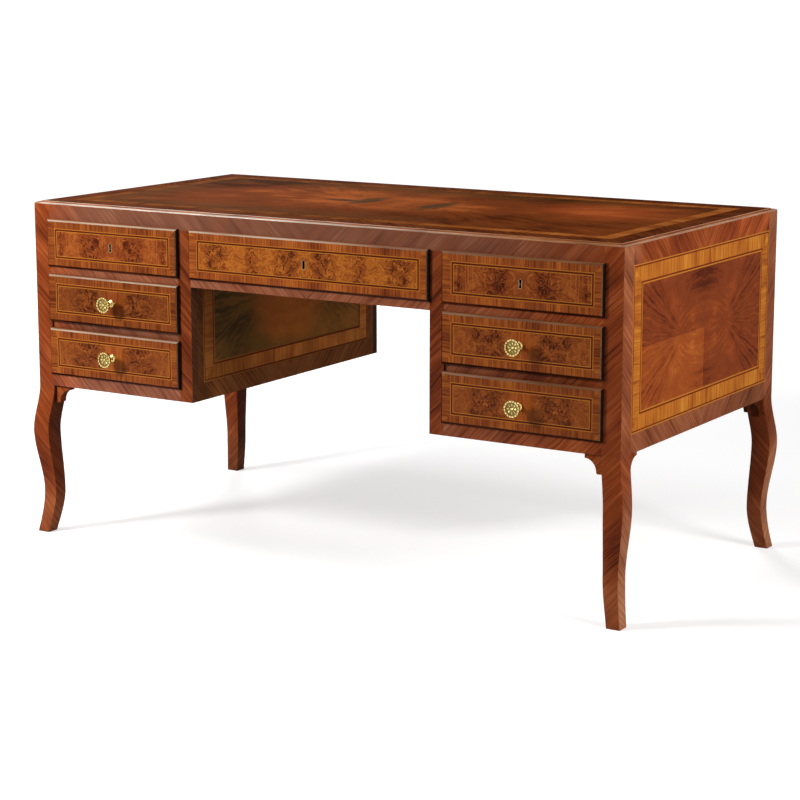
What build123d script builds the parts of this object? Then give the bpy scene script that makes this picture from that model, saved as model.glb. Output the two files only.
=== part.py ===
from build123d import *
import math
import os

# A veneered pedestal writing desk on square cabriole legs, with seven drawers.
# Lengths are in millimetres. X runs to the right seen from the front, Y to the back, Z up.
# Each piece is laid out about the middle of the carcase at floor level, and the whole desk is
# then moved along Y so that the origin lies under the middle of everything it reaches.

# Carcase
desk_width = 1524
desk_depth = 774
carcase_height = 783.5
leg_height = 357
post_size = 44
rail_thickness = 22
side_thickness = 20
kneehole_width = 624
kneehole_thickness = 18
back_thickness = 18
stile_width = 35
bottom_thickness = 15
bottom_recess = 6
dust_thickness = 8
dust_recess = 3
lower_rail_setback = 4

# Top
top_thickness = 22
top_rise = 6.5
top_fit = 0.4
moulding_width = 12.6
moulding_round = 4
moulding_bead = 1.2

# Heights that the rails show below, between and above the drawer fronts, which fill the rest
bottom_rail_show = 28
lower_rail_show = 16
upper_rail_show = 16.5
frieze_show = 33
center_rail_show = 18.5

# Cabriole leg below the post: places of the outer face, and thicknesses there
knee_height = 248
knee_bulge = 12.5
knee_thickness = 44.5
ankle_height = 102
ankle_hollow = 2.5
ankle_thickness = 34.8
foot_flare = 10
foot_thickness = 31
foot_lean = 6.5
foot_lean_inner = 7.5

# Leg brackets
bracket_length = 40
bracket_height = 40.5
bracket_lip = 9.3
bracket_heel = 13
bracket_nib = 2
bracket_thickness = 20
bracket_setback = 5
bracket_reach_in = 12

# Runners and kickers
guide_height = 12
kicker_width = 20

# Drawers
lip_thickness = 9
lip_overlap = 3.5
center_lip_overlap = 1
lip_chamfer = 5
seat_gap = 0.3
inner_front_thickness = 11
front_gap = 1
slide_gap = 0.4
drawer_top_gap = 3
drawer_side_thickness = 12
drawer_rear_gap = 105.3
drawer_back_thickness = 10
drawer_back_drop = 6
drawer_bottom_thickness = 6
groove_lift = 8
groove_depth = 5
groove_gap = 0.2
tail_length = 8
tail_count = 3
tail_root_share = 0.55
tail_slope_share = 1 / 6

# Locks
keyhole_round = 2.7
keyhole_height = 16
keyhole_waist = 2.6
keyhole_foot = 4.4
rim_width = 2
rim_depth = 3
lock_width = 50
lock_clear_below = 33.5
lock_depth = 8.5
lock_plate_margin = 7
lock_plate_thickness = 1.5
key_pin_radius = 1.3
bolt_width = 14
bolt_thickness = 4.6
bolt_length = 22
bolt_gap = 0.3
bolt_throw = 8
mortise_gap = 1.5
mortise_spare = 2

# Knobs
knob_reach = 32
knob_base_radius = 9.5
knob_base_rim = 1.8
knob_swell_radius = 8.8
knob_swell_height = 3.9
knob_shoulder_radius = 6.9
knob_shoulder_height = 5.9
knob_base_height = 7
knob_neck_radius = 3.8
knob_collar_radius = 9
knob_collar_length = 5.6
knob_disc_radius = 18
knob_disc_thickness = 4.2
knob_facet_count = 18
knob_lobe_count = 16
knob_lobe_notch = 1.1
knob_lobe_flat_shares = (0.22, 0.78)
knob_dish_radius = 14.6
knob_dish_depth = 1.8
knob_boss_radius = 3.6
knob_boss_crown_radius = 2.2
knob_petal_length = 9.4
knob_petal_width = 5.2
knob_petal_height = 1.5
knob_petal_widest_share = 0.62
knob_petal_count = 8
knob_shank_radius = 2.5
knob_hole_gap = 0.3
nut_width = 8
nut_thickness = 4
nut_gap = 0.15
shank_spare = 1.5

# What a cut runs past the face that it opens
overrun = 5

# Derived places
half_width = desk_width / 2
half_depth = desk_depth / 2
half_knee = kneehole_width / 2
rail_back = rail_thickness - half_depth
back_front = half_depth - back_thickness
side_inner = half_width - side_thickness
post_inner = half_width - post_size
knee_inner = half_knee + kneehole_thickness
pedestal_low = half_knee + stile_width
pedestal_center = (pedestal_low + post_inner) / 2

rows = ("bottom", "middle", "top")
rails_show = bottom_rail_show + lower_rail_show + upper_rail_show + frieze_show
front_height = (carcase_height - leg_height - rails_show) / len(rows)
bottom_front = leg_height + bottom_rail_show
middle_front = bottom_front + front_height + lower_rail_show
top_front = middle_front + front_height + upper_rail_show
front_places = dict(zip(rows, (bottom_front, middle_front, top_front)))
opening_height = front_height - lip_overlap * 2
opening_floor = {row: place + lip_overlap for row, place in front_places.items()}
opening_ceiling = {row: place + opening_height for row, place in opening_floor.items()}
kneehole_top = top_front - center_rail_show
desk_height = carcase_height + top_rise
top_underside = desk_height - top_thickness

lip_back = -half_depth - seat_gap
lip_face = lip_back - lip_thickness
block_back = lip_back + inner_front_thickness
box_back = back_front - drawer_rear_gap
box_side_height = opening_height - slide_gap - drawer_top_gap

bolt_y = block_back - lock_depth / 2
lock_height = opening_height - front_gap - lock_clear_below

# The desk reaches from the knobs in front to the knees of the back legs
front_reach = knob_reach - lip_face
back_reach = half_depth + max(knee_bulge, foot_flare)
shift_y = (front_reach - back_reach) / 2


def block(x0, x1, y0, y1, z0, z1):
    """A box between two corners."""
    middle = Pos((x0 + x1) / 2, (y0 + y1) / 2, (z0 + z1) / 2)
    return middle * Box(x1 - x0, y1 - y0, z1 - z0)


def mirrored_x(part):
    """The same piece on the other side of the desk's middle plane."""
    return mirror(part, about=Plane.YZ)


def mirrored_y(part):
    """The same piece turned from front to back."""
    return mirror(part, about=Plane.XZ)


def s_curve(x0, z0, x1, z1, lean=0):
    """A curve that leaves upright and arrives upright, or leaning outward by lean."""
    third = (z1 - z0) / 3
    return Bezier((x0, z0), (x0, z0 + third), (x1 - lean, z1 - third), (x1, z1))


def leg_side():
    """Outline of a post and its leg seen square on, with the outer face at zero."""
    knee_inside = knee_bulge - knee_thickness
    ankle_inside = -ankle_hollow - ankle_thickness
    foot_inside = foot_flare - foot_thickness
    outer = [
        Line((0, carcase_height), (0, leg_height)),
        s_curve(0, leg_height, knee_bulge, knee_height),
        s_curve(knee_bulge, knee_height, -ankle_hollow, ankle_height),
        s_curve(-ankle_hollow, ankle_height, foot_flare, 0, foot_lean),
    ]
    inner = [
        Line((foot_flare, 0), (foot_inside, 0)),
        reverse_s(foot_inside, 0, ankle_inside, ankle_height, foot_lean_inner),
        s_curve(ankle_inside, ankle_height, knee_inside, knee_height),
        s_curve(knee_inside, knee_height, -post_size, leg_height),
        Line((-post_size, leg_height), (-post_size, carcase_height)),
        Line((-post_size, carcase_height), (0, carcase_height)),
    ]
    return make_face(outer + inner)


def reverse_s(x0, z0, x1, z1, lean):
    """A curve that leaves the foot leaning inward by lean and arrives upright."""
    third = (z1 - z0) / 3
    return Bezier((x0, z0), (x0 - lean, z0 + third), (x1, z1 - third), (x1, z1))


def leg_front_right():
    """Post and square cabriole leg, sawn to one outline from both faces."""
    reach = post_size + knee_bulge + overrun
    side = leg_side()
    seen_from_front = extrude(Plane.XZ * side, reach, both=True)
    seen_from_side = extrude(Plane.YZ * side, reach, both=True)
    corner = seen_from_front & mirrored_y(seen_from_side)
    return Pos(half_width, -half_depth, 0) * corner


def post_space(part):
    """Takes the four posts out of a board that runs between them."""
    for x in (-1, 1):
        for y in (-1, 1):
            x0, x1 = sorted((x * post_inner, x * half_width))
            y0, y1 = sorted((y * (half_depth - post_size), y * half_depth))
            part = part - block(x0, x1, y0, y1, 0, desk_height)
    return part


def bracket_outline():
    """Seen square on, with the post's inner edge at x = 0 and the rail's underside at z = 0."""
    cove_width = bracket_length - bracket_heel
    heel_top = bracket_nib - bracket_height
    cove_height = bracket_height - bracket_lip - bracket_nib
    cove = EllipticalCenterArc(
        (-bracket_length, heel_top), cove_width, cove_height, start_angle=0, arc_size=90
    )
    lines = [
        Line((bracket_reach_in, 0), (-bracket_length, 0)),
        Line((-bracket_length, 0), (-bracket_length, -bracket_lip)),
        cove,
        Line((-bracket_heel, heel_top), (-bracket_heel + bracket_nib, -bracket_height)),
        Line((-bracket_heel + bracket_nib, -bracket_height), (bracket_reach_in, -bracket_height)),
        Line((bracket_reach_in, -bracket_height), (bracket_reach_in, 0)),
    ]
    return make_face(lines)


def leg_brackets(leg):
    """Front and side bracket at each leg, shaped to the leg's inner faces."""
    blank = extrude(Plane.XZ * bracket_outline(), -bracket_thickness)
    front_place = Pos(post_inner, -half_depth + bracket_setback, leg_height)
    front = front_place * blank - leg
    turned = Rot(0, 0, -90) * blank
    side_place = Pos(half_width - bracket_setback - bracket_thickness, post_size - half_depth, leg_height)
    side = side_place * turned - leg
    pair = [front, side]
    right = pair + [mirrored_y(piece) for piece in pair]
    return right + [mirrored_x(piece) for piece in right]


def top_board():
    """Veneered board whose lower part is let down between the rails and posts."""
    x = half_width - moulding_width
    y = half_depth - moulding_width
    slab = block(-x, x, -y, y, carcase_height, desk_height)
    inner_x = side_inner - top_fit
    tongue = block(
        -inner_x, inner_x, rail_back + top_fit, back_front - top_fit, top_underside, carcase_height
    )
    return slab + post_space(tongue)


def moulding_outline():
    """Round nosing, ledge and small bead, with the carcase's face at x = 0."""
    ledge_end = moulding_bead - moulding_width
    nosing = (-moulding_round, carcase_height + moulding_round)
    bead_low = (ledge_end, desk_height - moulding_bead)
    bead_top = (-moulding_width, desk_height)
    lines = [
        Line((-moulding_width, carcase_height), (0, carcase_height)),
        CenterArc((-moulding_round, carcase_height), moulding_round, 0, 90),
        Line(nosing, (ledge_end, carcase_height + moulding_round)),
        Line((ledge_end, carcase_height + moulding_round), bead_low),
        CenterArc((-moulding_width, desk_height - moulding_bead), moulding_bead, 0, 90),
        Line(bead_top, (-moulding_width, carcase_height)),
    ]
    return make_face(lines)


def moulding_length(half_run, half_across):
    """One mitred length along Y, at the desk's right side."""
    outline = Plane.XZ * moulding_outline()
    run = Pos(half_across, half_run, 0) * extrude(outline, half_run * 2)
    inner = half_across - moulding_width
    mitre = Polyline(
        (half_across, -half_run),
        (half_across, half_run),
        (inner, half_run - moulding_width),
        (inner, moulding_width - half_run),
        close=True,
    )
    return run & extrude(make_face(mitre), desk_height + overrun)


def top_moulding():
    right = moulding_length(half_depth, half_width)
    back = Rot(0, 0, 90) * moulding_length(half_width, half_depth)
    return [right, mirrored_x(right), back, mirrored_y(back)]


def bolt_mortise(center_x):
    """The hole in the frieze rail that a lock's bolt rises into."""
    x = bolt_width / 2 + mortise_gap
    y = bolt_thickness / 2 + mortise_gap
    floor = opening_ceiling["top"]
    depth = bolt_throw - front_gap + mortise_spare
    return block(
        center_x - x, center_x + x, bolt_y - y, bolt_y + y, floor - overrun, floor + depth
    )


def frieze_rail():
    rail = block(
        -post_inner, post_inner, -half_depth, rail_back, opening_ceiling["top"], carcase_height
    )
    for center_x in (-pedestal_center, 0, pedestal_center):
        rail = rail - bolt_mortise(center_x)
    return rail


def inner_stile():
    return block(
        half_knee, pedestal_low, -half_depth, rail_back, leg_height, opening_ceiling["top"]
    )


def center_rail():
    return block(
        -half_knee, half_knee, -half_depth, rail_back, kneehole_top, opening_floor["top"]
    )


def pedestal_rail(low, high, setback):
    return block(pedestal_low, post_inner, setback - half_depth, rail_back, low, high)


def side_panel():
    run = half_depth - post_size
    return block(side_inner, half_width, -run, run, leg_height, carcase_height)


def kneehole_panel():
    return block(half_knee, knee_inner, rail_back, back_front, leg_height, top_underside)


def back_panel():
    return block(half_knee, post_inner, back_front, half_depth, leg_height, carcase_height)


def back_apron():
    return block(-half_knee, half_knee, back_front, half_depth, kneehole_top, carcase_height)


def bottom_board():
    low = leg_height + bottom_recess
    board = block(knee_inner, side_inner, rail_back, back_front, low, low + bottom_thickness)
    return post_space(board)


def dust_board():
    low = kneehole_top + dust_recess
    return block(-half_knee, half_knee, rail_back, back_front, low, low + dust_thickness)


def runner_pair(low, floor):
    """Runners of a side drawer: a web under its side and a guide beside it."""
    inner_web = block(
        knee_inner, pedestal_low + drawer_side_thickness, rail_back, back_front, low, floor
    )
    inner_guide = block(
        knee_inner, pedestal_low, rail_back, back_front, floor, floor + guide_height
    )
    outer_web = block(
        post_inner - drawer_side_thickness, side_inner, rail_back, back_front, low, floor
    )
    outer_guide = block(
        post_inner, side_inner, rail_back, back_front, floor, floor + guide_height
    )
    return [inner_web + inner_guide, post_space(outer_web + outer_guide)]


def drawer_runners():
    board_top = leg_height + bottom_recess + bottom_thickness
    right = runner_pair(board_top, opening_floor["bottom"])
    right += runner_pair(opening_ceiling["bottom"], opening_floor["middle"])
    right += runner_pair(opening_ceiling["middle"], opening_floor["top"])
    dust_top = kneehole_top + dust_recess + dust_thickness
    right.append(
        block(
            half_knee - drawer_side_thickness,
            half_knee,
            rail_back,
            back_front,
            dust_top,
            opening_floor["top"],
        )
    )
    right += kickers()
    return right + [mirrored_x(piece) for piece in right]


def kickers():
    """Strips under the top that keep the upper drawers from tipping when they are out."""
    places = (half_knee - kicker_width, knee_inner, side_inner - kicker_width)
    return [
        post_space(
            block(
                x, x + kicker_width, rail_back, back_front, opening_ceiling["top"], top_underside
            )
        )
        for x in places
    ]


def keyhole_outline(center_z, margin=0):
    """Round eye over a slot that widens downward, as a flat shape in X and Z."""
    eye_z = center_z + keyhole_height / 2 - keyhole_round
    foot_z = center_z - keyhole_height / 2 - margin
    half_waist = keyhole_waist / 2 + margin
    half_foot = keyhole_foot / 2 + margin
    slot = Polyline(
        (-half_waist, eye_z), (half_waist, eye_z), (half_foot, foot_z), (-half_foot, foot_z),
        close=True,
    )
    return Pos(0, eye_z) * Circle(keyhole_round + margin) + make_face(slot)


def along_y(outline, y0, y1):
    """A flat shape in X and Z carried from y0 to y1."""
    return Pos(0, y0, 0) * extrude(Plane.XZ * outline, y0 - y1)


def side_outline(floor):
    """Drawer side seen square on, with dovetails at both ends, as y and z."""
    low = floor + slide_gap
    pitch = box_side_height / tail_count
    root = pitch * tail_root_share / 2
    back_root = box_back - drawer_back_thickness
    points = [(block_back, low), (back_root, low)]
    for index in range(tail_count):
        points += tail(back_root, box_back, low + pitch * (index + 1 / 2), root)
    points += [(back_root, low + box_side_height), (block_back, low + box_side_height)]
    for index in reversed(range(tail_count)):
        front_tail = tail(block_back, block_back - tail_length, low + pitch * (index + 1 / 2), root)
        points += reversed(front_tail)
    return make_face(Polyline(*points, close=True))


def tail(root_y, tip_y, z, half_root):
    """The four corners of one dovetail, from its lower root round to its upper root."""
    half_tip = half_root + abs(tip_y - root_y) * tail_slope_share
    return [
        (root_y, z - half_root),
        (tip_y, z - half_tip),
        (tip_y, z + half_tip),
        (root_y, z + half_root),
    ]


def drawer_grooves(half_box, floor):
    """The space that the bottom's grooves take from the sides and the front."""
    low = floor + slide_gap + groove_lift
    x = half_box - drawer_side_thickness + groove_depth
    return block(
        -x, x, block_back - groove_depth, box_back + overrun, low,
        low + drawer_bottom_thickness + groove_gap,
    )


def drawer_box(half_box, floor):
    """Two sides and a back, dovetailed, as separate solids."""
    outline = Plane.YZ * side_outline(floor)
    whole_side = Pos(half_box - drawer_side_thickness, 0, 0) * extrude(outline, drawer_side_thickness)
    right = whole_side - drawer_grooves(half_box, floor)
    left = mirrored_x(right)
    bottom_top = floor + slide_gap + groove_lift + drawer_bottom_thickness + groove_gap
    back_top = floor + slide_gap + box_side_height - drawer_back_drop
    back = block(
        -half_box, half_box, box_back - drawer_back_thickness, box_back, bottom_top, back_top
    )
    return [right, left, back - whole_side - mirrored_x(whole_side)]


def drawer_bottom(half_box, floor):
    low = floor + slide_gap + groove_lift
    x = half_box - drawer_side_thickness + groove_depth - groove_gap
    front = block_back - groove_depth + groove_gap
    return block(-x, x, front, box_back, low, low + drawer_bottom_thickness)


def drawer_front(half_box, half_lip, floor):
    """Lip with a chamfered edge outside the frame, and the block inside the opening."""
    place = floor - lip_overlap
    lip = block(-half_lip, half_lip, lip_face, lip_back, place, place + front_height)
    lip = chamfer(lip.faces().sort_by(Axis.Y)[0].edges(), lip_chamfer)
    inner = block(
        -half_box,
        half_box,
        lip_back,
        block_back,
        floor + slide_gap,
        floor + opening_height - front_gap,
    )
    outline = Plane.YZ * side_outline(floor)
    side = Pos(half_box - drawer_side_thickness, 0, 0) * extrude(outline, drawer_side_thickness)
    front = lip + inner - side - mirrored_x(side)
    return front - drawer_grooves(half_box, floor)


def lock_places(floor):
    top = floor + opening_height - front_gap
    keyhole_z = floor - lip_overlap + front_height / 2
    return top, keyhole_z


def lock_body(floor):
    """Case let into the front's back, its flange and the strip on the front's top edge."""
    top, keyhole_z = lock_places(floor)
    half_case = lock_width / 2
    half_plate = half_case + lock_plate_margin
    case_front = block_back - lock_depth
    case = block(-half_case, half_case, case_front, block_back, top - lock_height, top)
    plate = block(
        -half_plate, half_plate, block_back, block_back + lock_plate_thickness,
        top - lock_height, top,
    )
    strip = block(
        -half_plate, half_plate, case_front, block_back, top - lock_plate_thickness, top
    )
    return case + strip, plate, keyhole_z, top


def lock(floor):
    """Lock with a way for its bolt and key, and the rim round the keyhole."""
    case, plate, keyhole_z, top = lock_body(floor)
    case_front = block_back - lock_depth
    way_x = bolt_width / 2 + bolt_gap
    way_y = bolt_thickness / 2 + bolt_gap
    bolt_way = block(
        -way_x, way_x, bolt_y - way_y, bolt_y + way_y, top - bolt_length - bolt_gap, top + overrun
    )
    key_way = along_y(keyhole_outline(keyhole_z), case_front - overrun, block_back)
    eye_z = keyhole_z + keyhole_height / 2 - keyhole_round
    pin = along_y(Pos(0, eye_z) * Circle(key_pin_radius), case_front, block_back)
    body = case - bolt_way - key_way + plate + pin
    ring = keyhole_outline(keyhole_z, rim_width) - keyhole_outline(keyhole_z)
    rim = along_y(ring, lip_face, lip_face + rim_depth)
    return [body, rim]


def locked_front(front, floor):
    """Cuts the lock's seat, the keyhole and the rim's recess out of a front."""
    case, plate, keyhole_z, top = lock_body(floor)
    key_way = along_y(keyhole_outline(keyhole_z), lip_face - overrun, block_back)
    rim_outline = keyhole_outline(keyhole_z, rim_width)
    recess = along_y(rim_outline, lip_face - overrun, lip_face + rim_depth)
    return front - case - key_way - recess


def lock_bolt(floor):
    top = lock_places(floor)[0]
    half = bolt_width / 2
    half_thick = bolt_thickness / 2
    return block(-half, half, bolt_y - half_thick, bolt_y + half_thick, top - bolt_length, top)


def knob_hole(front, floor):
    z = floor - lip_overlap + front_height / 2
    hole = Pos(0, z) * Circle(knob_shank_radius + knob_hole_gap)
    return front - along_y(hole, lip_face - overrun, block_back + overrun)


def flat_sided(outlines):
    """A solid closed by flat faces, each given by its corners."""
    faces = [Face(Wire.make_polygon(outline, close=True)) for outline in outlines]
    return Solid(Shell(faces))


def faceted_turning(profile, facet_count):
    """A turning about the Z axis in flat facets, from radius and height pairs."""
    rings = []
    for radius, height in profile:
        turns = [index / facet_count for index in range(facet_count)]
        rings.append([(*polar(radius, turn), height) for turn in turns])
    outlines = [rings[0], rings[-1]]
    for low, high in zip(rings, rings[1:]):
        for index in range(facet_count):
            after = (index + 1) % facet_count
            outlines.append([low[index], low[after], high[after], high[index]])
    return flat_sided(outlines)


def knob_turning():
    """Everything turned behind the disc: shank, domed base, neck and collar, about the Z axis."""
    disc_back = knob_reach - knob_disc_thickness
    shank_end = -lip_thickness - inner_front_thickness - nut_thickness - shank_spare
    profile = [
        (knob_shank_radius, shank_end),
        (knob_shank_radius, 0),
        (knob_base_radius, 0),
        (knob_base_radius, knob_base_rim),
        (knob_swell_radius, knob_swell_height),
        (knob_shoulder_radius, knob_shoulder_height),
        (knob_neck_radius, knob_base_height),
        (knob_neck_radius, disc_back - knob_collar_length),
        (knob_collar_radius, disc_back),
    ]
    return faceted_turning(profile, knob_facet_count)


def polar(radius, turn):
    """A point at a radius and a share of a full turn."""
    return radius * math.cos(math.tau * turn), radius * math.sin(math.tau * turn)


def knob_disc():
    """Disc with a lobed rim, dished in front, and a low boss in the dish."""
    disc_back = knob_reach - knob_disc_thickness
    dish_floor = knob_reach - knob_dish_depth
    rim = []
    for lobe in range(knob_lobe_count):
        rim.append(polar(knob_disc_radius - knob_lobe_notch, lobe / knob_lobe_count))
        for share in knob_lobe_flat_shares:
            rim.append(polar(knob_disc_radius, (lobe + share) / knob_lobe_count))
    disc = extrude(make_face(Polyline(*rim, close=True)), knob_disc_thickness)
    dish = extrude(RegularPolygon(knob_dish_radius, knob_lobe_count), knob_dish_depth + overrun)
    boss_profile = [(knob_boss_radius, dish_floor), (knob_boss_crown_radius, knob_reach)]
    boss = faceted_turning(boss_profile, knob_petal_count)
    return Pos(0, 0, disc_back) * disc - Pos(0, 0, dish_floor) * dish + boss


def knob_petals():
    """Raised petals that radiate from the boss in the dish, each with four slopes to a peak."""
    dish_floor = knob_reach - knob_dish_depth
    widest = knob_boss_radius + knob_petal_length * knob_petal_widest_share
    base = [
        (knob_boss_radius, 0, dish_floor),
        (widest, -knob_petal_width / 2, dish_floor),
        (knob_boss_radius + knob_petal_length, 0, dish_floor),
        (widest, knob_petal_width / 2, dish_floor),
    ]
    peak = (widest, 0, dish_floor + knob_petal_height)
    slopes = [[base[index - 1], base[index], peak] for index in range(len(base))]
    petal = flat_sided([base] + slopes)
    return [Rot(0, 0, 360 * index / knob_petal_count) * petal for index in range(knob_petal_count)]


def knob(floor):
    """Brass knob on its shank through the front, with the nut behind it."""
    body = knob_turning() + knob_disc() + knob_petals()
    z = floor - lip_overlap + front_height / 2
    seat = Pos(0, lip_face, z) * Rot(90, 0, 0)
    ring = RegularPolygon(nut_width / 2, 6) - Circle(knob_shank_radius + nut_gap)
    nut = extrude(ring, nut_thickness)
    back = Pos(0, block_back, z) * Rot(-90, 0, 0)
    return [seat * body, back * nut]


nodes = {}


def keep(name, pieces):
    """Stores the solids of one node."""
    nodes[name] = list(pieces)


def keep_both(name, pieces):
    """Stores a piece of the right side, and its mirror image on the left."""
    keep(name + "_right", pieces)
    keep(name + "_left", [mirrored_x(piece) for piece in pieces])


def carcase():
    leg = leg_front_right()
    keep_both("leg_front", [leg])
    keep_both("leg_back", [mirrored_y(leg)])
    keep("leg_brackets", leg_brackets(leg))
    keep("top_board", [top_board()])
    keep("top_moulding", top_moulding())
    keep("frieze_rail", [frieze_rail()])
    keep("center_rail", [center_rail()])
    keep_both("inner_stile", [inner_stile()])
    lower = (opening_ceiling["bottom"], opening_floor["middle"])
    upper = (opening_ceiling["middle"], opening_floor["top"])
    keep_both("bottom_rail", [pedestal_rail(leg_height, opening_floor["bottom"], 0)])
    keep_both("lower_rail", [pedestal_rail(*lower, lower_rail_setback)])
    keep_both("upper_rail", [pedestal_rail(*upper, 0)])
    keep_both("side_panel", [side_panel()])
    keep_both("kneehole_panel", [kneehole_panel()])
    keep_both("back_panel", [back_panel()])
    keep("back_apron", [back_apron()])
    keep_both("bottom_board", [bottom_board()])
    keep("dust_board", [dust_board()])
    keep("drawer_runners", drawer_runners())


def drawer(name, center_x, row, half_opening, overlap, locked):
    """All pieces of one drawer, laid out about x = 0 and moved to its place."""
    floor = opening_floor[row]
    half_box = half_opening - front_gap
    front = drawer_front(half_box, half_opening + overlap, floor)
    if locked:
        front = locked_front(front, floor)
        fittings = {"lock_" + name: lock(floor), "lock_bolt_" + name: [lock_bolt(floor)]}
    else:
        front = knob_hole(front, floor)
        fittings = {"knob_" + name: knob(floor)}
    pieces = {
        "drawer_" + name + "_front": [front],
        "drawer_" + name + "_box": drawer_box(half_box, floor),
        "drawer_" + name + "_bottom": [drawer_bottom(half_box, floor)],
    }
    for node, solids in {**pieces, **fittings}.items():
        keep(node, [Pos(center_x, 0, 0) * solid for solid in solids])


def drawers():
    half_opening = (post_inner - pedestal_low) / 2
    for side, center_x in (("left", -pedestal_center), ("right", pedestal_center)):
        for row in rows:
            drawer(side + "_" + row, center_x, row, half_opening, lip_overlap, row == "top")
    drawer("center", 0, "top", half_knee, center_lip_overlap, True)


def write_nodes():
    os.makedirs("parts", exist_ok=True)
    for name, pieces in nodes.items():
        solids = [solid for piece in pieces for solid in piece.solids()]
        moved = [Pos(0, shift_y, 0) * solid for solid in solids]
        shape = moved[0] if len(moved) == 1 else Compound(children=moved)
        shape.label = name
        export_step(shape, "parts/" + name + ".step")


carcase()
drawers()
write_nodes()
print("nodes", len(nodes), "shift along Y", round(shift_y, 3), "height", desk_height)
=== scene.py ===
import math

import bpy
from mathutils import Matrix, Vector

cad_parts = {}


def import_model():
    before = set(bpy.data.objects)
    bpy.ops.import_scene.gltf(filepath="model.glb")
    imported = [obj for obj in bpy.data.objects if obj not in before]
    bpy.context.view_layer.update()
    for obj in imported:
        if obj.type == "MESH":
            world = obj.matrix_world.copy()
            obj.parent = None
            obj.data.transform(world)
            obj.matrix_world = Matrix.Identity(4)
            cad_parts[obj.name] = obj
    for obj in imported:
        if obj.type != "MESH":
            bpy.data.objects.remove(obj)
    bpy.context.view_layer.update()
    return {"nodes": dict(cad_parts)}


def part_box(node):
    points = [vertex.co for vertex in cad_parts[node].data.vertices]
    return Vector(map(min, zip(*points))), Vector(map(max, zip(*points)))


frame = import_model()

# Looks of a veneered writing desk. Pieces and lamps are placed in metres, and materials
# measure the surface in millimetres from the middle of the carcase at floor level.
MM = 1000

# Camera of the photograph, placed from under the middle of the carcase
CAMERA_X, CAMERA_Y, CAMERA_Z = 2.7299, -4.3865, 1.3570
CAMERA_YAW = 31.914
CAMERA_PITCH = 11.222
CAMERA_LENS = 101.69
CAMERA_REACH = 500

# Places on the carcase
side_low, side_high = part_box("side_panel_right")
MIDDLE_Y = (side_low.y + side_high.y) / 2
PANEL_HALF_RUN = (side_high.y - side_low.y) / 2 * MM
PANEL_MIDDLE_Z = (side_high.z + side_low.z) / 2 * MM
PANEL_INNER = side_low.x * MM
BRACKET_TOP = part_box("leg_brackets")[1].z * MM
POST_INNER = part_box("frieze_rail")[1].x * MM

# Places on the drawer fronts, their locks and their knobs
FRONT_FACE = (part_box("drawer_center_front")[0].y - MIDDLE_Y) * MM
LIP = 9
lock_low, lock_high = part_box("lock_right_top")
LOCK_X = (lock_low.x + lock_high.x) / 2 * MM
LOCK_Z = 695
KEY_HOLE_HALF_WIDTH = 3
KEY_HOLE_HALF_HEIGHT = 9
KEY_HOLE_WAIST = 0.9
KNOB_FACE = (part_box("knob_left_middle")[0].y - MIDDLE_Y) * MM
knob_low, knob_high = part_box("knob_right_bottom")[0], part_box("knob_right_middle")[1]
KNOB_X = (knob_low.x + knob_high.x) / 2 * MM
KNOB_RADIUS = (knob_high.x - knob_low.x) / 2 * MM
KNOB_MIDDLE_Z = (knob_low.z + knob_high.z) / 2 * MM
KNOB_HALF_GAP = (knob_high.z - knob_low.z) / 2 * MM - KNOB_RADIUS
KNOB_LOBES = 16

# Veneer of the drawer fronts: the margins round the field, how far it lies off the middle, and
# how far beyond its edge the gap between the lines, the outer line and the crossband start
FIELD_MARGIN_X = 29.6
FIELD_MARGIN_Z = 27.3
FIELD_SHIFT = 2.5
BETWEEN_LINES, OUTER_LINE, DRAWER_BAND = 1.4, 5.2, 6.9

# Veneer of the panels: the field's half height, how far its light quarter passes the middle, the
# width of a line, and how far beyond the field's edge the band starts and ends and the border starts
PANEL_FIELD_HALF_HEIGHT = 130
LIGHT_QUARTER_EXTRA = 3
PANEL_LINE = 3
PANEL_BAND, PANEL_BAND_END, PANEL_BORDER = 6.5, 37.5, 43

# Veneer of the top: the margins round the field and the width of the band
TOP_MARGIN_X = 83.4
TOP_MARGIN_Y = 84.4
TOP_BAND_WIDTH = 34

# The matched veneers fan out from two points, this far from the middle
FOCUS = 108

# Tones at which a wood shows its dark, its middle and its light shade
TONE_DARK, TONE_MIDDLE, TONE_LIGHT = 0.3, 0.5, 0.68

# Strength and depth of fine relief, and the widths of the bevels, with depths and widths in metres
PORES = (0.15, 0.0003)
CAST_SURFACE = (0.6, 0.0006)
LEG_BEVEL = 0.0008
FRONT_BEVEL = 0.0006
BEVEL_FROM_ANGLE = 40
WELD_REACH = 0.00001

# Light: how pale the floor is to the camera and to the desk, how far from the desk its glow
# starts to grow and is full, the least glow, the even light, and the height that lamps aim at
FLOOR_SEEN, FLOOR_UNSEEN = 0.7, 0.4
GLOW_GROWS_FROM, GLOW_FULL_FROM = 2, 7
GLOW_LEAST = 0.5
EVEN_LIGHT = 0.12
AIM_HEIGHT = 0.55


def srgb(red, green, blue):
    """A colour as it is seen on screen, from 0 to 255, as a shader wants it."""
    parts = []
    for value in (red, green, blue):
        share = value / 255
        parts.append(share / 12.92 if share <= 0.04045 else ((share + 0.055) / 1.055) ** 2.4)
    return (*parts, 1)


def shaded(shades, share):
    """Shader colours made darker, or lighter by a share over 1."""
    return [(*(part * share for part in colour[:3]), 1) for colour in shades]


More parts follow.
